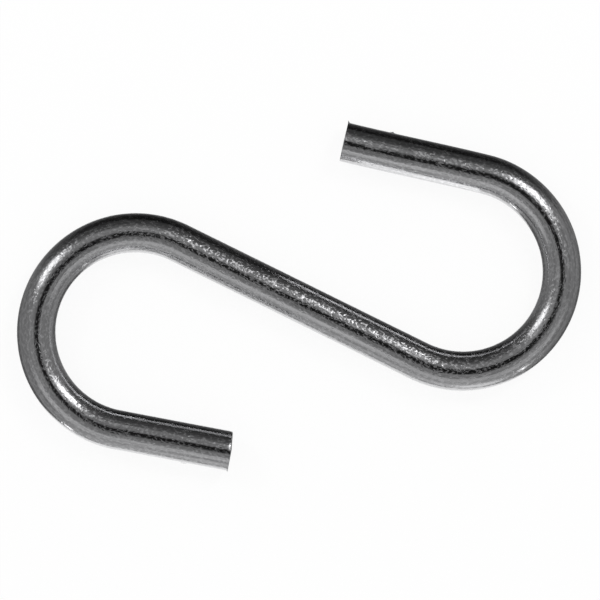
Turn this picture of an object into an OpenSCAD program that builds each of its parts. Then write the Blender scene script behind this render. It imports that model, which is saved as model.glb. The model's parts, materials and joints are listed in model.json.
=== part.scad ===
// S hook bent from one length of round steel wire.
//
// A straight shank runs between two hooks that open on opposite sides. Each hook is a
// round bend, which carries the load in its seat, and a straight leg with a sheared end.
// The hook lies flat with its wire resting on Z = 0. The line of pull, through the centres
// of the two bends, runs along X, and the origin is under the middle of the hook's box.
// Sizes are in millimetres and angles in degrees.

/* [Wire] */
// Diameter of the round wire
wire_d = 5; // [3:0.5:8]
// Straight length of the shank between the two bends
shank_l = 33.5; // [24:0.5:60]

/* [Bends] */
// Radius of the seat inside each bend
seat_r = 10; // [7:0.5:20]
// Angle that the right bend turns through, from shank to leg
right_turn = 192.5; // [150:0.5:210]
// Angle that the left bend turns through, from shank to leg
left_turn = 195.5; // [150:0.5:210]
// How much thinner the stretched wire is in a bend, on its radius
neck = 0.02; // [0.01:0.01:0.1]

/* [Legs] */
// Straight length from the right bend to its tip
right_leg = 18.4; // [10:0.1:22]
// Straight length from the left bend to its tip
left_leg = 14.6; // [10:0.1:22]

/* [Sheared ends] */
// How far the blade pushed back the right tip at its inner edge
right_roll = 0.1; // [0.05:0.05:0.5]
// How far the blade pushed back the left tip at its inner edge
left_roll = 0.3; // [0.05:0.05:0.5]
// Height of the burr at the right tip's outer edge
right_burr = 0.2; // [0.05:0.01:0.2]
// Height of the burr at the left tip's outer edge
left_burr = 0.12; // [0.05:0.01:0.2]
// Length along the wire over which a burr flares out
burr_l = 0.3; // [0.1:0.05:0.5]

/* [Hidden] */
$fn = 96;

wire_r = wire_d / 2;
bend_r = seat_r + wire_r - neck;          // centreline of both bends
shank_tilt = atan2(bend_r, shank_l / 2);  // from the line of pull to the shank
lap = 0.2;                                // how far a straight length runs into its bend

// How far a hook reaches out from the line of pull: to the outer edge of its tip while
// the leg still flares outwards, or else to the side of its bend.
function reach(turn, leg, burr) =
    let (heading = turn - shank_tilt)
    heading < 180
        ? leg * sin(heading) - (bend_r + wire_r + burr) * cos(heading)
        : bend_r + wire_r - neck;

right_reach = reach(right_turn, right_leg, right_burr);
left_reach = reach(left_turn, left_leg, left_burr);

// A straight length of wire along X, from one place to another.
module rod(from, to) {
    translate([from, 0, 0]) rotate([0, 90, 0]) cylinder(r = wire_r, h = to - from);
}

// A bend that starts at the origin along X and turns towards Y.
module bend(turn) {
    translate([0, bend_r, 0])
        rotate_extrude(angle = turn, start = -90)
            translate([bend_r, 0]) circle(r = wire_r - neck);
}

// The lip that the blade raised on the outer side of a tip, towards -Y. It is a short
// cone set off the wire's axis, so that it leaves the wire's surface halfway along and
// stands out by the burr's height at the face.
module burr_lip(burr) {
    translate([-burr_l, -burr, 0])
        rotate([0, 90, 0]) cylinder(r1 = wire_r - 2 * burr, r2 = wire_r, h = burr_l);
}

// A leg along X, from the end of its bend to a sheared tip. The face slopes back on the
// inner side, where the blade entered.
module leg(length, roll, burr) {
    difference() {
        union() {
            rod(-lap, length);
            translate([length, 0, 0]) burr_lip(burr);
        }
        translate([length, 0, 0])
            rotate(atan2(roll, wire_r))
                translate([0, -wire_d, -wire_d]) cube(2 * wire_d);
    }
}

// One hook, from the end of a shank that lies along X.
module hook(turn, length, roll, burr) {
    bend(turn);
    translate([0, bend_r, 0])
        rotate(turn)
            translate([0, -bend_r, 0]) leg(length, roll, burr);
}

module s_hook() {
    color("dimgray")
        translate([0, (left_reach - right_reach) / 2, wire_r])
            rotate(-shank_tilt) {
                rod(-shank_l / 2 - lap, shank_l / 2 + lap);
                translate([shank_l / 2, 0, 0])
                    hook(right_turn, right_leg, right_roll, right_burr);
                rotate(180) translate([shank_l / 2, 0, 0])
                    hook(left_turn, left_leg, left_roll, left_burr);
            }
}

s_hook();
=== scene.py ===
"""Visible model of an S hook: one plated steel wire, drawn, sheared at both ends and bent."""

import json
import math

import bmesh
import bpy
from mathutils import Matrix, Vector, noise


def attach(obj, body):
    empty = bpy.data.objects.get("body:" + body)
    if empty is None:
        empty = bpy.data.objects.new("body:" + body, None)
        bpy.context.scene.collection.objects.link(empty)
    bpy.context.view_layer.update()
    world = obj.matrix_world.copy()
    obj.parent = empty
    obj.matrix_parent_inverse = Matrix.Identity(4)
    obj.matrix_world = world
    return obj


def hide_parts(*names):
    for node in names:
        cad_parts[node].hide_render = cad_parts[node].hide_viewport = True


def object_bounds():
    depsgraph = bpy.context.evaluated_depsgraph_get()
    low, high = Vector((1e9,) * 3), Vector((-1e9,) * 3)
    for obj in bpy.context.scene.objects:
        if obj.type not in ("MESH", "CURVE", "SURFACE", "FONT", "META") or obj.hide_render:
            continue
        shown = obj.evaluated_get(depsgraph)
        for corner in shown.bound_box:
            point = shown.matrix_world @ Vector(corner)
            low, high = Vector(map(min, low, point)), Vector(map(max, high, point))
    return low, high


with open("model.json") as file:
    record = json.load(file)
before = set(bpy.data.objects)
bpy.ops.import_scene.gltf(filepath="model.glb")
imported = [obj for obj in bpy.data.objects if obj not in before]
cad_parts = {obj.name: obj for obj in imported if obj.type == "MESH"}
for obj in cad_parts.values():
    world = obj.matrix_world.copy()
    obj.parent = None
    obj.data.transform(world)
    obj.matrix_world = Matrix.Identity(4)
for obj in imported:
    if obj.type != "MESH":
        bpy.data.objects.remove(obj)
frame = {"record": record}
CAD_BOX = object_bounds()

bl_info = {
    "name": "S Hook",
    "version": (1, 0, 0),
    "blender": (4, 5, 0),
    "location": "3D View > Sidebar > S Hook",
    "description": "Makes an S hook of plated steel wire and a pale stage for it",
    "category": "Object",
}

MM = 0.001
WIRE_NODE = "s_hook"
STRAIGHT = "straight"  # attribute: where each point of the wire was before it was bent


# ---------------------------------------------------------------- settings

class HookWireSettings(bpy.types.PropertyGroup):
    """Detail of the wire and its two sheared ends"""

    sides: bpy.props.IntProperty(
        name="Sides", description="Number of points round the wire", default=112, min=24, max=160)
    ring_gap: bpy.props.FloatProperty(
        name="Ring spacing", description="Distance between the rings of points along the wire",
        default=0.24 * MM, min=0.2 * MM, max=2 * MM, precision=5, unit="LENGTH")
    bend_oval: bpy.props.FloatProperty(
        name="Bend flattening", description="Share of its width that the wire loses in the middle of a bend",
        default=0.025, min=0, max=0.1, subtype="FACTOR")
    right_roll: bpy.props.FloatProperty(
        name="Right roll", description="How far the right end leans back at its inner edge",
        default=0.08 * MM, min=0, max=0.6 * MM, precision=5, unit="LENGTH")
    left_roll: bpy.props.FloatProperty(
        name="Left roll", description="How far the left end leans back at its inner edge",
        default=0.22 * MM, min=0, max=0.6 * MM, precision=5, unit="LENGTH")
    right_burr: bpy.props.FloatProperty(
        name="Right burr", description="Height of the burr on the outer edge of the right end",
        default=0.24 * MM, min=0, max=0.6 * MM, precision=5, unit="LENGTH")
    left_burr: bpy.props.FloatProperty(
        name="Left burr", description="Height of the burr on the outer edge of the left end",
        default=0.18 * MM, min=0, max=0.6 * MM, precision=5, unit="LENGTH")
    inner_round: bpy.props.FloatProperty(
        name="Inner edge radius", description="Rounding where the blade pushed the inner edge over",
        default=0.09 * MM, min=0.02 * MM, max=0.5 * MM, precision=5, unit="LENGTH")
    outer_round: bpy.props.FloatProperty(
        name="Outer edge radius", description="Rounding of the edge that carries the burr",
        default=0.04 * MM, min=0.02 * MM, max=0.5 * MM, precision=5, unit="LENGTH")


class HookFinishSettings(bpy.types.PropertyGroup):
    """Colour and surface of the plating and of the sheared ends"""

    plating_colour: bpy.props.FloatVectorProperty(
        name="Plating", description="Colour of the bright plating", subtype="COLOR", size=3,
        default=frame["record"]["materials"][0]["base_color"], min=0, max=1)
    sheared_colour: bpy.props.FloatVectorProperty(
        name="Sheared metal", description="Colour of the metal on the two end faces",
        subtype="COLOR", size=3, default=(0.42, 0.42, 0.43), min=0, max=1)
    plating_roughness: bpy.props.FloatProperty(
        name="Plating roughness", description="Roughness of the plating between its rougher spots",
        default=0.085, min=0, max=1, subtype="FACTOR")
    pit_size: bpy.props.FloatProperty(
        name="Pit size", description="Width of the fine pits in the plating",
        default=0.27 * MM, min=0.05 * MM, max=1 * MM, precision=5, unit="LENGTH")
    pit_depth: bpy.props.FloatProperty(
        name="Pit depth", description="Depth of the fine pits in the plating",
        default=0.012 * MM, min=0, max=0.1 * MM, precision=6, unit="LENGTH")
    line_depth: bpy.props.FloatProperty(
        name="Drawing line depth", description="Depth of the lines that the drawing die left",
        default=0.01 * MM, min=0, max=0.05 * MM, precision=6, unit="LENGTH")


class HookStageSettings(bpy.types.PropertyGroup):
    """Colour of the floor and view of the camera"""

    floor_colour: bpy.props.FloatVectorProperty(
        name="Floor", description="Colour of the floor", subtype="COLOR", size=3,
        default=(0.95, 0.95, 0.95), min=0, max=1)
    view_width: bpy.props.FloatProperty(
        name="View width", description="Width of the view at the middle of the wire",
        default=75.4 * MM, min=20 * MM, max=1, precision=4, unit="LENGTH")
    view_turn: bpy.props.FloatProperty(
        name="View turn", description="Turn of the camera about the upright",
        default=math.radians(-10.45), subtype="ANGLE", unit="ROTATION")
    view_shift: bpy.props.FloatVectorProperty(
        name="View centre", description="Where the camera looks, on the plane of the hook",
        size=2, default=(0.16 * MM, -0.80 * MM), precision=5, unit="LENGTH")
    camera_height: bpy.props.FloatProperty(
        name="Camera height", description="Height of the camera over the middle of the wire",
        default=0.7, min=0.1, max=3, unit="LENGTH")


# ------------------------------------------------------------ wire's layout

def mounts_by_name():
    """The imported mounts, which give the wire's radius, legs and bends."""
    return {m["name"]: m for m in frame["record"]["mounts"]}


def flat(values):
    """A mount's point or axis, in the plane of the hook."""
    return Vector((values[0], values[1], 0))


def wire_layout():
    """Radius, start point, start heading and (length, curvature) runs of the wire, from its left tip."""
    mounts = mounts_by_name()
    right, left = mounts["right_tip"], mounts["left_tip"]
    radius = right["dims"]["r_mm"] * MM
    right_leg, left_leg = right["dims"]["length_mm"] * MM, left["dims"]["length_mm"] * MM
    right_centre, left_centre = flat(mounts["right_seat"]["pos_m"]), flat(mounts["left_seat"]["pos_m"])
    right_axis, left_axis = flat(right["axis"]), flat(left["axis"])
    right_start = flat(right["pos_m"]) - right_axis * right_leg / 2
    bend_radius = (right_start - right_centre).length
    half = (right_centre - left_centre).length / 2
    tilt = math.asin(bend_radius / half)
    shank = 2 * math.sqrt(half ** 2 - bend_radius ** 2)
    right_turn = math.atan2(right_axis.y, right_axis.x) + tilt
    left_turn = math.atan2(-left_axis.y, -left_axis.x) + tilt
    start = flat(left["pos_m"]) + left_axis * left_leg / 2
    heading = math.atan2(-left_axis.y, -left_axis.x)
    runs = [
        (left_leg, 0),
        (left_turn * bend_radius, -1 / bend_radius),
        (shank, 0),
        (right_turn * bend_radius, 1 / bend_radius),
        (right_leg, 0),
    ]
    return radius, start, heading, runs


def bent_place(distance, start, heading, runs):
    """Matrix that carries a slice of the straight wire to its place on the bent one."""
    point, left = start.copy(), distance
    for length, curvature in runs:
        step = min(left, length)
        if curvature:
            centre = point + Vector((-math.sin(heading), math.cos(heading), 0)) / curvature
            point = centre + Matrix.Rotation(curvature * step, 3, "Z") @ (point - centre)
            heading += curvature * step
        else:
            point += Vector((math.cos(heading), math.sin(heading), 0)) * step
        left -= step
        if left <= 0:
            break
    turn = Matrix.Rotation(heading, 4, "Z")
    return Matrix.Translation(point) @ turn @ Matrix.Translation((-distance, 0, 0))


def smooth(value):
    """Smooth step from 0 to 1."""
    t = min(max(value, 0), 1)
    return t * t * (3 - 2 * t)


BEND_EASE = 2.2  # how quickly a bend's flattening sets in from its two ends


def bend_share(distance, runs):
    """0 on the straights and 1 in the middle of a bend."""
    done = 0
    for length, curvature in runs:
        if curvature and done < distance < done + length:
            return smooth(BEND_EASE * min(distance - done, done + length - distance) / length)
        done += length
    return 0


# --------------------------------------------------------------- wire's mesh

# rings of points next to an end, in mm from it, and on its face, as shares of the wire's radius
END_STEPS = (0, 0.015, 0.035, 0.06, 0.09, 0.13, 0.18, 0.24, 0.32, 0.42, 0.55, 0.72, 0.95, 1.2)
FACE_RINGS = (0.985, 0.96, 0.92, 0.86, 0.78, 0.68, 0.56, 0.43, 0.3, 0.17, 0.07)
END_ZONE = END_STEPS[-1] * MM
BITE_STEP = 0.05 * MM  # how far the torn part of an end face lies behind the blade's smooth bite
TEARS = ((0.5 * MM, 0, 0.02 * MM), (0.16 * MM, 1, 0.012 * MM))  # width, layer and height of the torn ridges
BURR_LENGTH = 0.26 * MM  # how far a burr reaches back along the wire
BURR_SPREAD = ((1, 0.34), (0.25, 0.9))  # share and half angle of a burr's sharp and wide parts
SPECK_WIDTH = 0.16 * MM
SPECKS = (  # raised marks: place from the left tip, from the right one if negative, angle, length, height
    (-5.7 * MM, math.pi, 0.2 * MM, 0.13 * MM),
    (5.6 * MM, 0, 0.35 * MM, 0.12 * MM),
)
LEG_DRIFT = 0.13 * MM  # how far the right leg wanders to each side of its own line
LEG_SHIFT = 0.03 * MM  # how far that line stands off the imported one
DRIFT_FADE = (0.9, 1.5)  # where the drift starts to fade and where it is gone, in leg lengths from the tip
PLACE_TOLERANCE = 0.02 * MM


def next_ring(bm, edges, step=0):
    """Extrudes a closed loop of edges and moves the new one along X. Returns its points and its edges."""
    made = bmesh.ops.extrude_edge_only(bm, edges=edges)["geom"]
    points = [v for v in made if isinstance(v, bmesh.types.BMVert)]
    if step:
        bmesh.ops.translate(bm, vec=(step, 0, 0), verts=points)
    return points, [e for e in made if isinstance(e, bmesh.types.BMEdge)]


def close_end(bm, edges):
    """Fills the end of the tube with rings that shrink to one point."""
    size = 1
    for share in FACE_RINGS:
        inner, edges = next_ring(bm, edges)
        bmesh.ops.scale(bm, vec=(1, share / size, share / size), verts=inner)
        size = share
    centre = Vector((inner[0].co.x, 0, 0))
    cap = bmesh.ops.contextual_create(bm, geom=edges)["faces"]
    pole = bmesh.ops.poke(bm, faces=cap)["verts"]
    bmesh.ops.translate(bm, vec=centre - pole[0].co, verts=pole)


def draw_wire(bm, radius, total, gap, sides):
    """A straight closed wire along X, with rings of points closer together at its ends."""
    upright = Matrix.Rotation(math.pi / 2, 4, "Y")
    bmesh.ops.create_circle(bm, cap_ends=False, radius=radius, segments=sides, matrix=upright)
    left_loop = loop = list(bm.edges)
    steps = [(after - before) * MM for before, after in zip(END_STEPS, END_STEPS[1:])]
    middle = total - 2 * END_ZONE
    for step in (*steps, middle, *reversed(steps)):
        _, loop = next_ring(bm, loop, step)
    close_end(bm, left_loop)
    close_end(bm, loop)
    long_edges = [e for e in bm.edges if e.calc_length() > middle / 2]
    bmesh.ops.subdivide_edges(bm, edges=long_edges, cuts=round(middle / gap) - 1, use_grid_fill=True)


def shear_end(rim, face, radius, end, outward, inner, roll, burr, wire):
    """Gives one end its sheared form: leaning inner half, rounded rim, ragged burr, torn face."""
    face_points = set(face)
    for v in rim + face:
        depth = abs(v.co.x - end)
        u = inner * v.co.y / radius                       # -1 at the burr, 1 at the rolled edge
        reach = math.hypot(v.co.y, v.co.z) / radius
        angle = math.atan2(v.co.z, -inner * v.co.y)       # 0 at the burr
        rounding = wire.outer_round + (wire.inner_round - wire.outer_round) * smooth((u + 0.2) / 1.1)
        ragged = 0.5 + 0.5 * noise.noise(Vector((angle * 9, 3.7 * outward, 0.4)))
        tear = sum(noise.noise(Vector((v.co.y, v.co.z, layer)) / width) * height
                   for width, layer, height in TEARS)
        # rounded rim
        if depth < rounding:
            fall = 1 - depth / rounding
            shrink = rounding * (1 - math.sqrt(max(0, 1 - fall * fall))) / radius
            v.co.y *= 1 - shrink
            v.co.z *= 1 - shrink
        # surface that the blade dragged down before it bit
        if depth < 2 * roll:
            droop = 0.4 * roll * smooth((u + 0.3) / 0.6) * (1 - depth / (2 * roll)) ** 2
            v.co.y *= 1 - droop / radius
            v.co.z *= 1 - droop / radius
        # leaning inner half, and the torn zone below the smooth bite of the blade
        lean = roll * max(0, u)
        bite = BITE_STEP * smooth((0.35 - u) / 0.25) * (1 - smooth((reach - 0.9) / 0.1))
        back = lean + (bite + tear * smooth((0.6 - u) / 0.4) if v in face_points else 0)
        v.co.x = end - outward * (back + depth * (END_ZONE - lean) / END_ZONE)
        # burr
        side = sum(share * math.exp(-(angle / half) ** 2) for share, half in BURR_SPREAD)
        along = max(0, 1 - depth / BURR_LENGTH) ** 1.6
        lip = burr * side * along * (0.55 + 0.75 * ragged) * smooth((reach - 0.9) / 0.1)
        v.co.y -= inner * lip * math.cos(angle)
        v.co.z += lip * math.sin(angle)
        v.co.x += outward * lip * 0.12


def raise_speck(points, radius, distance, angle, length, height):
    """Pushes out a small raised mark at a distance along the wire and an angle round it."""
    for v in points:
        along = v.co.x - distance
        if abs(along) < 3 * length:
            away = math.atan2(v.co.z, v.co.y) - angle
            across = radius * math.atan2(math.sin(away), math.cos(away))
            lift = height * math.exp(-(along / length) ** 2 - (across / SPECK_WIDTH) ** 2)
            v.co.y *= 1 + lift / radius
            v.co.z *= 1 + lift / radius


def leg_drift(left, leg):
    """Sideways drift of the right leg, inwards, at a distance from its tip: the leg isn't quite straight."""
    share = left / leg
    fade = 1 - smooth((share - DRIFT_FADE[0]) / (DRIFT_FADE[1] - DRIFT_FADE[0]))
    return (LEG_DRIFT * math.cos(math.pi * share) + LEG_SHIFT) * fade


def make_wire_mesh(wire):
    """The bent wire as a closed mesh, with its unbent coordinates kept as an attribute."""
    radius, start, heading, runs = wire_layout()
    total = sum(length for length, _ in runs)
    bm = bmesh.new()
    straight = bm.verts.layers.float_vector.new(STRAIGHT)
    draw_wire(bm, radius, total, wire.ring_gap, wire.sides)
    for v in bm.verts:
        v[straight] = v.co
    body = [v for v in bm.verts if v.co.yz.length > radius * 0.99]
    inside = set(bm.verts) - set(body)
    left_face = [v for v in inside if v.co.x < END_ZONE]
    right_face = [v for v in inside if v.co.x > END_ZONE]
    left_rim = [v for v in body if v.co.x < END_ZONE * 1.01]
    right_rim = [v for v in body if v.co.x > total - END_ZONE * 1.01]
    for f in bm.faces:
        f.smooth = True
        f.material_index = 1 if sum(v in inside for v in f.verts) > 1 else 0
    for place, angle, length, height in SPECKS:
        raise_speck(body, radius, place % total, angle, length, height)
    shear_end(left_rim, left_face, radius, 0, -1, -1, wire.left_roll, wire.left_burr, wire)
    shear_end(right_rim, right_face, radius, total, 1, 1, wire.right_roll, wire.right_burr, wire)
    right_leg = runs[-1][0]
    for v in bm.verts:
        v.co.y += leg_drift(total - v[straight].x, right_leg)

    places = {}
    for v in bm.verts:
        distance = round(v[straight].x, 7)
        if distance not in places:
            narrow = 1 - wire.bend_oval * bend_share(distance, runs)
            places[distance] = (
                Matrix.Translation((0, 0, radius)) @ bent_place(distance, start, heading, runs)
                @ Matrix.Diagonal((1, narrow, 1, 1)))
        v.co = places[distance] @ v.co

    tip = mounts_by_name()["right_tip"]
    leg = tip["dims"]["length_mm"] * MM
    wanted = flat(tip["pos_m"]) + flat(tip["axis"]) * leg / 2
    found = bent_place(total, start, heading, runs) @ Vector((total, 0, 0))
    if (found - wanted).length > PLACE_TOLERANCE:
        raise RuntimeError("the bent wire doesn't end at its right tip")

    bmesh.ops.recalc_face_normals(bm, faces=bm.faces)
    mesh = bpy.data.meshes.new("wire")
    bm.to_mesh(mesh)
    bm.free()
    return mesh


# ------------------------------------------------------------------- finish

LINES_PER_METRE = 4200  # drawing lines round the wire
SCRATCH_LENGTH = 6  # in pit sizes
GRAIN_MIDDLE = 78 * MM  # place along the wire, from the left tip, round which the grain is full
GRAIN_FADE = (16 * MM, 36 * MM)  # distances from there at which the grain starts and ends to fade
GRAIN_LEFT = 0.7  # share of the grain that the bends and legs keep
TONE_RANGE = 0.25  # how far the metal's tone strays to each side of its colour
GRAIN_TONE = 0.45  # share of the grain in that tone, against the streaks of the drawing lines
ROUGH_SPOTS = 3.6  # roughness of the plating's rougher spots, in times the plating's
SHEARED_ROUGHNESS = (0.35, 0.6)
SHEARED_PITS = (1.5, 2.5)  # size and depth of the pits on the sheared ends, in times the plating's


def add_node(tree, kind, place, inputs=None, **settings):
    """Adds a node, sets its properties and its unlinked inputs."""
    node = tree.nodes.new(kind)
    node.location = place
    for name, value in settings.items():
        setattr(node, name, value)
    for name, value in (inputs or {}).items():
        node.inputs[name].default_value = value
    return node


def combine(tree, place, operation, first, second):
    """Socket with two values combined by one Math operation."""
    node = add_node(tree, "ShaderNodeMath", place, operation=operation)
    tree.links.new(first, node.inputs[0])
    tree.links.new(second, node.inputs[1])
    return node.outputs[0]


def soft_step(tree, place, value, start, end, outside=0, inside=1):
    """Socket that goes smoothly from outside to inside while the value goes from start to end."""
    step = add_node(tree, "ShaderNodeMapRange", place, {
        "From Min": start, "From Max": end, "To Min": outside, "To Max": inside},
        interpolation_type="SMOOTHSTEP")
    tree.links.new(value, step.inputs["Value"])
    return step.outputs["Result"]


def new_group(name, inputs, outputs):
    """An empty shader group with named inputs and outputs."""
    group = bpy.data.node_groups.new(name, "ShaderNodeTree")
    for label, kind in inputs:
        group.interface.new_socket(name=label, in_out="INPUT", socket_type=kind)
    for label, kind in outputs:
        group.interface.new_socket(name=label, in_out="OUTPUT", socket_type=kind)
    return group


def drawn_wire_group():
    """Group: lines along the unbent wire, as a height and a streak mask."""
    group = new_group(
        "Drawing Lines",
        [("Vector", "NodeSocketVector"), ("Lines per Metre", "NodeSocketFloat")],
        [("Height", "NodeSocketFloat"), ("Streaks", "NodeSocketFloat")])
    entry = add_node(group, "NodeGroupInput", (-900, 0))
    leave = add_node(group, "NodeGroupOutput", (500, 0))
    stretch = add_node(group, "ShaderNodeMapping", (-700, 0), {"Scale": (0.02, 1, 1)})
    fine = add_node(group, "ShaderNodeTexNoise", (-450, 120), {"Detail": 3, "Roughness": 0.6})
    wide = add_node(group, "ShaderNodeTexNoise", (-450, -160), {"Detail": 2, "Roughness": 0.5})
    slower = add_node(group, "ShaderNodeMath", (-650, -220), {1: 0.6}, operation="MULTIPLY")
    mask = add_node(group, "ShaderNodeMapRange", (0, -160),
                    {"From Min": 0.35, "From Max": 0.65, "To Min": 0, "To Max": 1})
    links = group.links
    links.new(entry.outputs["Vector"], stretch.inputs["Vector"])
    links.new(stretch.outputs["Vector"], fine.inputs["Vector"])
    links.new(stretch.outputs["Vector"], wide.inputs["Vector"])
    links.new(entry.outputs["Lines per Metre"], fine.inputs["Scale"])
    links.new(entry.outputs["Lines per Metre"], slower.inputs[0])
    links.new(slower.outputs[0], wide.inputs["Scale"])
    links.new(wide.outputs["Fac"], mask.inputs["Value"])
    links.new(fine.outputs["Fac"], leave.inputs["Height"])
    links.new(mask.outputs["Result"], leave.inputs["Streaks"])
    return group


def pitting_group():
    """Group: fine pits in the metal, as a height and a grain of lighter and darker spots."""
    group = new_group(
        "Fine Pitting",
        [("Vector", "NodeSocketVector"), ("Pit Size", "NodeSocketFloat")],
        [("Height", "NodeSocketFloat"), ("Grain", "NodeSocketFloat")])
    entry = add_node(group, "NodeGroupInput", (-900, 0))
    leave = add_node(group, "NodeGroupOutput", (500, 0))
    rate = add_node(group, "ShaderNodeMath", (-700, -200), {0: 1}, operation="DIVIDE")
    longer = add_node(group, "ShaderNodeMapping", (-650, 120), {
        "Rotation": (0.5, 0.6, 0.9), "Scale": (0.75, 1, 1)})
    pits = add_node(group, "ShaderNodeTexNoise", (-450, 120), {"Detail": 0, "Roughness": 0.5})
    spots = add_node(group, "ShaderNodeTexNoise", (-450, -200), {"Detail": 1, "Roughness": 0.35})
    apart = add_node(group, "ShaderNodeMapping", (-650, -400), {
        "Location": (7, 3, 5), "Rotation": (0.8, 0.5, 0.7), "Scale": (0.65, 1, 1)})
    links = group.links
    links.new(entry.outputs["Pit Size"], rate.inputs[1])
    links.new(entry.outputs["Vector"], longer.inputs["Vector"])
    links.new(longer.outputs["Vector"], pits.inputs["Vector"])
    links.new(entry.outputs["Vector"], apart.inputs["Vector"])
    links.new(apart.outputs["Vector"], spots.inputs["Vector"])
    for texture in (pits, spots):
        links.new(rate.outputs[0], texture.inputs["Scale"])
    links.new(soft_step(group, (0, 120), pits.outputs["Fac"], 0.55, 0.85), leave.inputs["Height"])
    links.new(soft_step(group, (0, -200), spots.outputs["Fac"], 0.44, 0.68), leave.inputs["Grain"])
    return group


def scratch_group():
    """Group: a few short thin scratches across the metal, as a mask."""
    group = new_group(
        "Handling Scratches",
        [("Vector", "NodeSocketVector"), ("Scratch Length", "NodeSocketFloat")],
        [("Scratches", "NodeSocketFloat")])
    entry = add_node(group, "NodeGroupInput", (-1100, 0))
    leave = add_node(group, "NodeGroupOutput", (700, 0))
    rate = add_node(group, "ShaderNodeMath", (-900, -300), {0: 1}, operation="DIVIDE")
    total = add_node(group, "ShaderNodeMath", (400, 0), operation="MAXIMUM")
    links = group.links
    links.new(entry.outputs["Scratch Length"], rate.inputs[1])
    for number, turn in enumerate((35, -50)):
        height = -500 * number
        turned = add_node(group, "ShaderNodeMapping", (-900, height), {
            "Location": (0.003 * number, 0, 0), "Rotation": (0, 0, math.radians(turn)),
            "Scale": (0.25, 3, 3)})
        line = add_node(group, "ShaderNodeTexNoise", (-650, height), {"Detail": 0})
        place = add_node(group, "ShaderNodeTexNoise", (-650, height - 250), {"Detail": 0})
        off = add_node(group, "ShaderNodeMath", (-450, height), {1: 0.5}, operation="SUBTRACT")
        size = add_node(group, "ShaderNodeMath", (-280, height), operation="ABSOLUTE")
        links.new(entry.outputs["Vector"], turned.inputs["Vector"])
        links.new(turned.outputs["Vector"], line.inputs["Vector"])
        links.new(entry.outputs["Vector"], place.inputs["Vector"])
        links.new(rate.outputs[0], line.inputs["Scale"])
        links.new(rate.outputs[0], place.inputs["Scale"])
        links.new(line.outputs["Fac"], off.inputs[0])
        links.new(off.outputs[0], size.inputs[0])
        thin = soft_step(group, (-100, height), size.outputs[0], 0.03, 0.01)
        few = soft_step(group, (-280, height - 250), place.outputs["Fac"], 0.6, 0.68)
        links.new(combine(group, (100, height), "MULTIPLY", thin, few), total.inputs[number])
    links.new(total.outputs[0], leave.inputs["Scratches"])
    return group


def smoothing_group():
    """Group: how far the grain shows along the wire: less in the bends and legs, which are smoother."""
    group = new_group(
        "Smoother Bends", [("Vector", "NodeSocketVector"), ("Middle", "NodeSocketFloat")],
        [("Grain Share", "NodeSocketFloat")])
    entry = add_node(group, "NodeGroupInput", (-900, 0))
    leave = add_node(group, "NodeGroupOutput", (300, 0))
    axes = add_node(group, "ShaderNodeSeparateXYZ", (-700, 0))
    away = add_node(group, "ShaderNodeMath", (-300, 0), operation="ABSOLUTE")
    links = group.links
    links.new(entry.outputs["Vector"], axes.inputs[0])
    links.new(combine(group, (-500, 0), "SUBTRACT", axes.outputs["X"], entry.outputs["Middle"]),
              away.inputs[0])
    share = soft_step(group, (-100, 0), away.outputs[0], *GRAIN_FADE, 1, GRAIN_LEFT)
    links.new(share, leave.inputs["Grain Share"])
    return group


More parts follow.
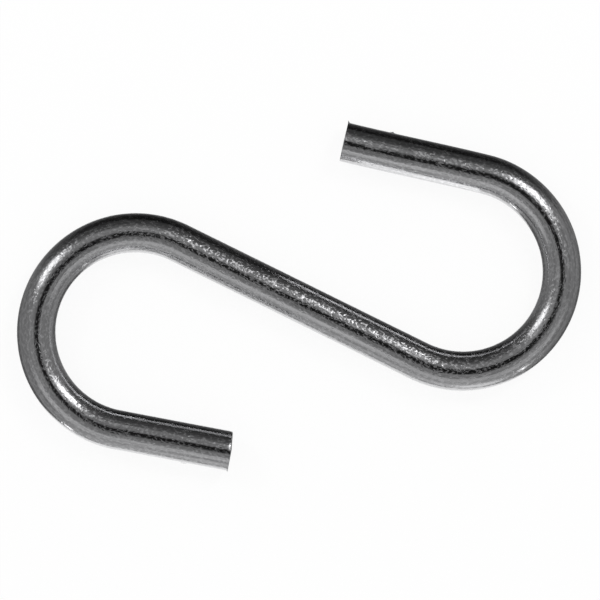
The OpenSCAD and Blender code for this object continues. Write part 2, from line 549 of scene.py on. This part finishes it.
def metal_material(name, colour, smooth_rough, groups, pit_size, pit_depth, line_depth):
    """A metal whose tone, roughness and bump come from the shared groups."""
    lines_group, pits_group, scratches_group, smoothing = groups
    material = bpy.data.materials.new(name)
    material.use_nodes = True
    tree = material.node_tree
    tree.nodes.clear()
    links = tree.links
    output = add_node(tree, "ShaderNodeOutputMaterial", (900, 0))
    metal = add_node(tree, "ShaderNodeBsdfPrincipled", (600, 0), {"Metallic": 1})
    unbent = add_node(tree, "ShaderNodeAttribute", (-900, 0), attribute_name=STRAIGHT)
    lines = add_node(tree, "ShaderNodeGroup", (-600, 200), node_tree=lines_group)
    lines.inputs["Lines per Metre"].default_value = LINES_PER_METRE
    pits = add_node(tree, "ShaderNodeGroup", (-600, -100), node_tree=pits_group)
    pits.inputs["Pit Size"].default_value = pit_size
    scratches = add_node(tree, "ShaderNodeGroup", (-600, -400), node_tree=scratches_group)
    scratches.inputs["Scratch Length"].default_value = pit_size * SCRATCH_LENGTH
    bends = add_node(tree, "ShaderNodeGroup", (-600, -600), node_tree=smoothing)
    bends.inputs["Middle"].default_value = GRAIN_MIDDLE
    for effect in (lines, pits, scratches, bends):
        links.new(unbent.outputs["Vector"], effect.inputs["Vector"])
    share = bends.outputs["Grain Share"]

    mottle = add_node(tree, "ShaderNodeMix", (-300, 300), {"Factor": GRAIN_TONE})
    links.new(lines.outputs["Streaks"], mottle.inputs["A"])
    links.new(pits.outputs["Grain"], mottle.inputs["B"])
    shade = add_node(tree, "ShaderNodeMix", (0, 300), data_type="RGBA")
    shade.inputs[6].default_value = (*[c * (1 - TONE_RANGE) for c in colour], 1)
    shade.inputs[7].default_value = (*[c * (1 + TONE_RANGE) for c in colour], 1)
    links.new(mottle.outputs["Result"], shade.inputs["Factor"])
    links.new(shade.outputs[2], metal.inputs["Base Color"])

    grain = combine(tree, (-350, -100), "MULTIPLY", pits.outputs["Grain"], share)
    rougher = combine(tree, (-200, 0), "MAXIMUM", grain, scratches.outputs["Scratches"])
    rough = add_node(tree, "ShaderNodeMapRange", (0, 0),
                     {"To Min": smooth_rough[0], "To Max": smooth_rough[1]})
    links.new(rougher, rough.inputs["Value"])
    links.new(rough.outputs["Result"], metal.inputs["Roughness"])

    line_bump = add_node(tree, "ShaderNodeBump", (0, -200), {"Strength": 1, "Distance": line_depth})
    pit_bump = add_node(tree, "ShaderNodeBump", (300, -200), {"Strength": 1, "Distance": pit_depth})
    relief = combine(tree, (150, -350), "MULTIPLY", pits.outputs["Height"], share)
    links.new(lines.outputs["Height"], line_bump.inputs["Height"])
    links.new(relief, pit_bump.inputs["Height"])
    links.new(line_bump.outputs["Normal"], pit_bump.inputs["Normal"])
    links.new(pit_bump.outputs["Normal"], metal.inputs["Normal"])
    links.new(metal.outputs["BSDF"], output.inputs["Surface"])
    return material


class HOOK_OT_make_wire(bpy.types.Operator):
    """Makes the bent wire with its sheared ends and its plating"""

    bl_idname = "hook.make_wire"
    bl_label = "Make Wire"

    def execute(self, context):
        wire = context.scene.hook_wire
        finish = context.scene.hook_finish
        piece = bpy.data.objects.new("wire", make_wire_mesh(wire))
        context.scene.collection.objects.link(piece)
        groups = drawn_wire_group(), pitting_group(), scratch_group(), smoothing_group()
        piece.data.materials.append(metal_material(
            "plated_wire", finish.plating_colour,
            (finish.plating_roughness, finish.plating_roughness * ROUGH_SPOTS), groups,
            finish.pit_size, finish.pit_depth, finish.line_depth))
        piece.data.materials.append(metal_material(
            "sheared_end", finish.sheared_colour, SHEARED_ROUGHNESS, groups,
            finish.pit_size * SHEARED_PITS[0], finish.pit_depth * SHEARED_PITS[1], 0))
        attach(piece, "root")
        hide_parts(WIRE_NODE)
        return {"FINISHED"}


# -------------------------------------------------------------------- stage

LAMP_PLACES = (  # azimuth in the view's frame and angle off the upright, right lamp first
    (math.radians(44), math.radians(39)),
    (math.radians(146), math.radians(50)),
)
LAMP_POWERS = (0.38, 0.29)
LAMP_SIZE = (0.07, 0.19)
LAMP_DISTANCE = 0.5
LAMP_GLOW = (1.3, 6.0)  # strength of the lamps' glow in a first and in a second reflection
GLOW_SIZE = (math.radians(7.5), math.radians(14.5))  # half width and half height of a lamp's glow
SECOND_BOUNCE = 2.0  # how much stronger the tent is in light that has met the wire twice
TENT_RADIUS = 1.5
# greys of the tent from its front (0) to its back (1): above the hook, below it and far below it
TENT_ABOVE = (
    (0, 0.42), (0.1, 0.38), (0.2, 0.27), (0.33, 0.27), (0.5, 0.28), (0.75, 0.27),
    (0.84, 0.13), (0.95, 0.06), (1, 0.045),
)
TENT_BELOW = (
    (0, 0.6), (0.03, 0.55), (0.08, 0.45), (0.15, 0.35), (0.3, 0.3), (0.5, 0.285), (0.7, 0.22),
    (0.84, 0.09), (0.92, 0.025), (1, 0.01),
)
TENT_FAR_BELOW = (
    (0, 0.6), (0.08, 0.45), (0.15, 0.35), (0.25, 0.13), (0.5, 0.15), (0.65, 0.24),
    (0.84, 0.09), (0.92, 0.025), (1, 0.01),
)
BELOW_AT = (0.22, 0.02)  # heights between which the first grey turns into the second, in tent radii
FAR_BELOW_AT = (-0.4, -0.6)  # and those between which the second turns into the third
# lit wall in front, above eye level: angles off the upright at its top edge, where it is full, where it
# stops being full and at its foot, then how far to the front it starts and is full, in tent radii
LIT_WALL = (math.radians(42), math.radians(51), math.radians(60), math.radians(75))
LIT_WALL_FRONT = (-0.15, -0.5)
LIT_WALL_GREY = 0.6
# round patches of the tent: direction, outer and inner half angle
WHITE_SHEET = ((-0.08, -0.568, -0.819), math.radians(27), math.radians(21))
WHITE_GROUND = ((0, 0, -1), math.radians(25), math.radians(12))
FRONT_CARD = ((0.17, -0.945, -0.28), math.radians(16), math.radians(7))
LENS_OPENING = ((0.06, -0.105, 1), math.radians(18.5), math.radians(8.5))
SHEET_WHITE = 1.12  # level of the white sheet and of the white ground
CARD_WHITE = 1.05
LENS_DARK = 0.05
OVAL_EDGE = (1.75, 0.3)  # where an oval patch of light starts and is full, in its own half sizes
TENT_SLITS = (  # narrow bright slits: azimuth, angle off the upright, half width, half height
    (math.radians(304), math.radians(97), math.radians(1.5), math.radians(8)),
    (math.radians(233), math.radians(117), math.radians(2.5), math.radians(5)),
)
SLIT_LIGHT = 2.5
LOW_CARD_PLACE = (-1.2 * MM, 11.5 * MM, -0.6 * MM)  # from the right leg's middle: to its tip, inwards, up
LOW_CARD_HALF = (9.3 * MM, 3.4 * MM)
LOW_CARD_TURN = math.radians(34)
# strength of the low card's own glow, which paints the bright reflection along the right leg's underside
LOW_CARD_LIGHT = 1.35
FLOOR_HALF = 2
FLOOR_MATTE = 0.12  # share of the floor's colour that takes the hook's shadow
FLOOR_GLOW = 0.94
WORLD_LIGHT = 0.7


def stage_object(context, name, mesh, material):
    """Links a stage object and gives it its material."""
    thing = bpy.data.objects.new(name, mesh)
    context.scene.collection.objects.link(thing)
    mesh.materials.append(material)
    return thing


def empty_material(name):
    """A material with only its output node. Returns the material, its tree and the output."""
    material = bpy.data.materials.new(name)
    material.use_nodes = True
    material.node_tree.nodes.clear()
    return material, material.node_tree, add_node(material.node_tree, "ShaderNodeOutputMaterial", (900, 0))


def floor_material(colour):
    """Pale floor: white to the eye with the hook's soft shadow, clear to reflections."""
    material, tree, output = empty_material("pale_floor")
    links = tree.links
    path = add_node(tree, "ShaderNodeLightPath", (-600, 300))
    matte = add_node(tree, "ShaderNodeBsdfDiffuse", (-300, 0), {
        "Color": (*[FLOOR_MATTE * c for c in colour], 1)})
    glow = add_node(tree, "ShaderNodeEmission", (-300, -200), {"Color": (*colour, 1), "Strength": FLOOR_GLOW})
    both = add_node(tree, "ShaderNodeAddShader", (0, -100))
    clear = add_node(tree, "ShaderNodeBsdfTransparent", (0, -300))
    choose = add_node(tree, "ShaderNodeMixShader", (500, 0))
    mirrored = combine(tree, (-300, 300), "MAXIMUM", path.outputs["Is Glossy Ray"],
                       path.outputs["Is Transmission Ray"])
    links.new(matte.outputs[0], both.inputs[0])
    links.new(glow.outputs[0], both.inputs[1])
    links.new(mirrored, choose.inputs["Fac"])
    links.new(both.outputs[0], choose.inputs[1])
    links.new(clear.outputs[0], choose.inputs[2])
    links.new(choose.outputs[0], output.inputs["Surface"])
    return material


def ramp(tree, place, stops):
    """A colour ramp with grey stops given as (position, level)."""
    node = add_node(tree, "ShaderNodeValToRGB", place)
    node.color_ramp.interpolation = "EASE"
    elements = node.color_ramp.elements
    while len(elements) < len(stops):
        elements.new(0.5)
    for element, (position, level) in zip(elements, stops):
        element.position = position
        element.color = (level, level, level, 1)
    return node


def soft_lamp_mask(tree, place, unit, azimuth, off_upright, half_width, half_height):
    """Soft oval patch in one direction. Returns the socket that is 1 in its middle and 0 outside it."""
    x, y = place
    local = add_node(tree, "ShaderNodeMapping", (x, y), {
        "Rotation": (0, off_upright, azimuth),
        "Scale": (math.sin(half_height), math.sin(half_width), 1)}, vector_type="TEXTURE")
    away = add_node(tree, "ShaderNodeVectorMath", (x + 200, y), {1: (0, 0, 1)}, operation="DISTANCE")
    tree.links.new(unit, local.inputs["Vector"])
    tree.links.new(local.outputs[0], away.inputs[0])
    return soft_step(tree, (x + 400, y), away.outputs["Value"], *OVAL_EDGE)


def by_bounce(tree, place, first, second):
    """Socket with one value in a first reflection and another in a second one."""
    path = add_node(tree, "ShaderNodeLightPath", place)
    twice = add_node(tree, "ShaderNodeMapRange", (place[0] + 200, place[1]), {
        "From Min": 1, "From Max": 2, "To Min": first, "To Max": second})
    tree.links.new(path.outputs["Ray Depth"], twice.inputs["Value"])
    return twice.outputs["Result"]


def round_patch(tree, place, unit, patch, outside=0, inside=1):
    """Socket with one value inside a round patch of the tent and another outside it."""
    direction, outer, inner = patch
    x, y = place
    facing = add_node(tree, "ShaderNodeVectorMath", (x, y), {1: Vector(direction).normalized()},
                      operation="DOT_PRODUCT")
    tree.links.new(unit, facing.inputs[0])
    return soft_step(tree, (x + 250, y), facing.outputs["Value"], math.cos(outer), math.cos(inner),
                     outside, inside)


def blend(tree, place, factor, first, second):
    """Colour socket that goes from a first colour socket to a second one, or to a grey level."""
    mix = add_node(tree, "ShaderNodeMix", place, data_type="RGBA")
    tree.links.new(factor, mix.inputs["Factor"])
    tree.links.new(first, mix.inputs[6])
    if isinstance(second, float):
        mix.inputs[7].default_value = (second, second, second, 1)
    else:
        tree.links.new(second, mix.inputs[7])
    return mix.outputs[2]


def tent_greys(tree, axes):
    """Colour socket of the plain tent, which darkens from its front to its back."""
    back = add_node(tree, "ShaderNodeMapRange", (-700, 200), {"From Min": -1, "From Max": 1})
    tree.links.new(axes["Y"], back.inputs["Value"])
    greys = []
    for number, stops in enumerate((TENT_ABOVE, TENT_BELOW, TENT_FAR_BELOW)):
        tones = ramp(tree, (-450, 300 - 275 * number), stops)
        tree.links.new(back.outputs["Result"], tones.inputs[0])
        greys.append(tones.outputs[0])
    above, below, far_below = greys
    low = add_node(tree, "ShaderNodeMapRange", (-700, -100), {
        "From Min": BELOW_AT[0], "From Max": BELOW_AT[1]})
    tree.links.new(axes["Z"], low.inputs["Value"])
    lowest = soft_step(tree, (-700, -350), axes["Z"], *FAR_BELOW_AT)
    below = blend(tree, (-150, -100), lowest, below, far_below)
    return blend(tree, (0, 200), low.outputs["Result"], above, below)


def lit_wall_mask(tree, axes):
    """Mask of the lit wall in front of the hook, above eye level."""
    top, full_top, full_foot, foot = [math.cos(angle) for angle in LIT_WALL]
    rise = soft_step(tree, (-450, 600), axes["Z"], top, full_top)
    fall = soft_step(tree, (-450, 850), axes["Z"], foot, full_foot)
    width = soft_step(tree, (-450, 1100), axes["Y"], *LIT_WALL_FRONT)
    return combine(tree, (0, 700), "MULTIPLY", combine(tree, (-200, 700), "MULTIPLY", rise, fall), width)


def tent_lamps(tree, unit):
    """Strength of the lamps' glow through the cloth and of the slits near the ground."""
    glows = [soft_lamp_mask(tree, (-700, -1500 - 300 * number), unit, *place, *GLOW_SIZE)
             for number, place in enumerate(LAMP_PLACES)]
    slits = [soft_lamp_mask(tree, (-700, -2100 - 300 * number), unit, *slit)
             for number, slit in enumerate(TENT_SLITS)]
    level = combine(tree, (400, -500), "MULTIPLY", combine(tree, (200, -500), "ADD", *glows),
                    by_bounce(tree, (0, -1100), *LAMP_GLOW))
    total = add_node(tree, "ShaderNodeMath", (500, -600), {1: SLIT_LIGHT}, operation="MULTIPLY_ADD")
    tree.links.new(combine(tree, (200, -900), "ADD", *slits), total.inputs[0])
    tree.links.new(level, total.inputs[2])
    return total.outputs[0]


def tent_material(turn):
    """Inside of the light tent: dark behind the hook, pale in front, white below, dark round the camera."""
    material, tree, output = empty_material("light_tent")
    links = tree.links
    where = add_node(tree, "ShaderNodeTexCoord", (-1500, 0))
    turned = add_node(tree, "ShaderNodeMapping", (-1300, 0), {"Rotation": (0, 0, -turn)})
    normal = add_node(tree, "ShaderNodeVectorMath", (-1100, 0), operation="NORMALIZE")
    split = add_node(tree, "ShaderNodeSeparateXYZ", (-900, 0))
    links.new(where.outputs["Object"], turned.inputs["Vector"])
    links.new(turned.outputs["Vector"], normal.inputs[0])
    links.new(normal.outputs[0], split.inputs[0])
    unit, axes = normal.outputs[0], split.outputs

    walls = blend(tree, (150, 400), lit_wall_mask(tree, axes), tent_greys(tree, axes), LIT_WALL_GREY)
    white = combine(tree, (-100, -800), "MAXIMUM", round_patch(tree, (-700, -700), unit, WHITE_SHEET),
                    round_patch(tree, (-700, -950), unit, WHITE_GROUND))
    walls = blend(tree, (250, 200), white, walls, SHEET_WHITE)
    walls = blend(tree, (350, 200), round_patch(tree, (-700, -1200), unit, FRONT_CARD), walls, CARD_WHITE)
    strength = combine(tree, (350, -150), "MULTIPLY",
                       round_patch(tree, (-700, -450), unit, LENS_OPENING, 1, LENS_DARK),
                       by_bounce(tree, (-700, 1400), 1, SECOND_BOUNCE))
    shine = add_node(tree, "ShaderNodeEmission", (500, 0))
    lamps = add_node(tree, "ShaderNodeEmission", (600, -300), {"Color": (1, 1, 1, 1)})
    both = add_node(tree, "ShaderNodeAddShader", (750, 0))
    links.new(walls, shine.inputs["Color"])
    links.new(strength, shine.inputs["Strength"])
    links.new(tent_lamps(tree, unit), lamps.inputs["Strength"])
    links.new(shine.outputs[0], both.inputs[0])
    links.new(lamps.outputs[0], both.inputs[1])
    links.new(both.outputs[0], output.inputs["Surface"])
    return material


def add_low_card(context):
    """Low white card in the bay beside the right leg, seen only in reflections: it glows by itself on the
    leg's side, a painted reflection that puts a bright band along the leg's underside where the real light is
    bounced off the shank.
    """
    tip = mounts_by_name()["right_tip"]
    axis = flat(tip["axis"])
    inwards = Vector((-axis.y, axis.x, 0))
    up = Vector((0, 0, 1))
    along, across, lift = LOW_CARD_PLACE
    place = flat(tip["pos_m"]) + axis * along + inwards * across + up * lift
    turn = Matrix.Rotation(LOW_CARD_TURN, 4, "Z") @ Matrix((axis, up, -inwards)).transposed().to_4x4()
    bm = bmesh.new()
    bmesh.ops.create_grid(bm, x_segments=1, y_segments=1, size=1, matrix=(
        Matrix.Translation(place) @ turn @ Matrix.Diagonal((*LOW_CARD_HALF, 1, 1))))
    mesh = bpy.data.meshes.new("low_card")
    bm.to_mesh(mesh)
    bm.free()
    material, tree, output = empty_material("low_card")
    sides = add_node(tree, "ShaderNodeNewGeometry", (-300, 200))
    front = add_node(tree, "ShaderNodeEmission", (0, 0), {
        "Color": (1, 1, 1, 1), "Strength": LOW_CARD_LIGHT})
    back = add_node(tree, "ShaderNodeBsdfTransparent", (0, -200))
    choose = add_node(tree, "ShaderNodeMixShader", (300, 0))
    tree.links.new(sides.outputs["Backfacing"], choose.inputs["Fac"])
    tree.links.new(front.outputs[0], choose.inputs[1])
    tree.links.new(back.outputs[0], choose.inputs[2])
    tree.links.new(choose.outputs[0], output.inputs["Surface"])
    card = stage_object(context, "low_card", mesh, material)
    card.visible_camera = card.visible_diffuse = card.visible_shadow = False
    card.visible_transmission = False


def add_lamp(context, name, azimuth, off_upright, power, target):
    """A soft oval lamp aimed at the hook, left out of light that has met the wire twice."""
    light = bpy.data.lights.new(name, "AREA")
    light.shape = "ELLIPSE"
    light.size, light.size_y = LAMP_SIZE
    light.energy = power
    light.use_nodes = True
    tree = light.node_tree
    tree.links.new(by_bounce(tree, (-600, 0), 1, 0), tree.nodes["Emission"].inputs["Strength"])
    lamp = bpy.data.objects.new(name, light)
    context.scene.collection.objects.link(lamp)
    direction = Vector((math.sin(off_upright) * math.cos(azimuth),
                        math.sin(off_upright) * math.sin(azimuth), math.cos(off_upright)))
    lamp.location = target + direction * LAMP_DISTANCE
    lamp.rotation_euler = direction.to_track_quat("Z", "Y").to_euler()


def white_world(context):
    """White background to camera, reflections and glass, and a plain level of light."""
    world = bpy.data.worlds.new("studio")
    context.scene.world = world
    world.use_nodes = True
    tree = world.node_tree
    tree.nodes.clear()
    links = tree.links
    output = add_node(tree, "ShaderNodeOutputWorld", (600, 0))
    path = add_node(tree, "ShaderNodeLightPath", (-600, 0))
    white = add_node(tree, "ShaderNodeBackground", (0, -100), {"Color": (1, 1, 1, 1), "Strength": 1})
    fill = add_node(tree, "ShaderNodeBackground", (0, 100), {
        "Color": (1, 1, 1, 1), "Strength": WORLD_LIGHT})
    choose = add_node(tree, "ShaderNodeMixShader", (300, 0))
    seen = combine(tree, (-400, 100), "MAXIMUM", path.outputs["Is Camera Ray"],
                   path.outputs["Is Glossy Ray"])
    shown = combine(tree, (-200, 100), "MAXIMUM", seen, path.outputs["Is Transmission Ray"])
    links.new(shown, choose.inputs["Fac"])
    links.new(fill.outputs[0], choose.inputs[1])
    links.new(white.outputs[0], choose.inputs[2])
    links.new(choose.outputs[0], output.inputs["Surface"])


class HOOK_OT_make_stage(bpy.types.Operator):
    """Makes the pale floor, the light tent, two soft lamps, the low card and the camera over the hook"""

    bl_idname = "hook.make_stage"
    bl_label = "Make Stage"

    def execute(self, context):
        stage = context.scene.hook_stage
        turn = stage.view_turn
        middle = (CAD_BOX[0] + CAD_BOX[1]) / 2

        bm = bmesh.new()
        bmesh.ops.create_grid(bm, x_segments=1, y_segments=1, size=FLOOR_HALF)
        mesh = bpy.data.meshes.new("floor")
        bm.to_mesh(mesh)
        bm.free()
        stage_object(context, "floor", mesh, floor_material(stage.floor_colour))

        bm = bmesh.new()
        bmesh.ops.create_icosphere(bm, subdivisions=5, radius=TENT_RADIUS)
        bmesh.ops.reverse_faces(bm, faces=bm.faces)
        mesh = bpy.data.meshes.new("light_tent")
        bm.to_mesh(mesh)
        bm.free()
        tent = stage_object(context, "light_tent", mesh, tent_material(turn))
        tent.visible_camera = tent.visible_diffuse = tent.visible_shadow = False
        tent.visible_transmission = False

        names = "right_lamp", "left_lamp"
        for name, (azimuth, off_upright), power in zip(names, LAMP_PLACES, LAMP_POWERS):
            add_lamp(context, name, azimuth + turn, off_upright, power, middle)
        add_low_card(context)
        white_world(context)

        lens = bpy.data.cameras.new("camera")
        camera = bpy.data.objects.new("camera", lens)
        context.scene.collection.objects.link(camera)
        camera.location = (*stage.view_shift, middle.z + stage.camera_height)
        camera.rotation_euler = (0, 0, turn)
        lens.lens = lens.sensor_width * stage.camera_height / stage.view_width
        lens.clip_start, lens.clip_end = 0.01, 10
        context.scene.camera = camera
        context.scene.view_settings.view_transform = "Standard"
        return {"FINISHED"}


class VIEW3D_PT_s_hook(bpy.types.Panel):
    """Settings and buttons of the S hook"""

    bl_label = "S Hook"
    bl_space_type = "VIEW_3D"
    bl_region_type = "UI"
    bl_category = "S Hook"

    def draw(self, context):
        for settings, operator in (("hook_wire", None), ("hook_finish", "hook.make_wire"),
                                   ("hook_stage", "hook.make_stage")):
            group = getattr(context.scene, settings)
            for name in group.__annotations__:
                self.layout.prop(group, name)
            if operator:
                self.layout.operator(operator)


CLASSES = (
    HookWireSettings, HookFinishSettings, HookStageSettings,
    HOOK_OT_make_wire, HOOK_OT_make_stage, VIEW3D_PT_s_hook,
)


def register():
    for cls in CLASSES:
        bpy.utils.register_class(cls)
    bpy.types.Scene.hook_wire = bpy.props.PointerProperty(type=HookWireSettings)
    bpy.types.Scene.hook_finish = bpy.props.PointerProperty(type=HookFinishSettings)
    bpy.types.Scene.hook_stage = bpy.props.PointerProperty(type=HookStageSettings)


def unregister():
    for name in ("hook_stage", "hook_finish", "hook_wire"):
        delattr(bpy.types.Scene, name)
    for cls in reversed(CLASSES):
        bpy.utils.unregister_class(cls)


def main():
    register()
    bpy.ops.hook.make_wire()
    bpy.ops.hook.make_stage()


if __name__ == "__main__":
    main()
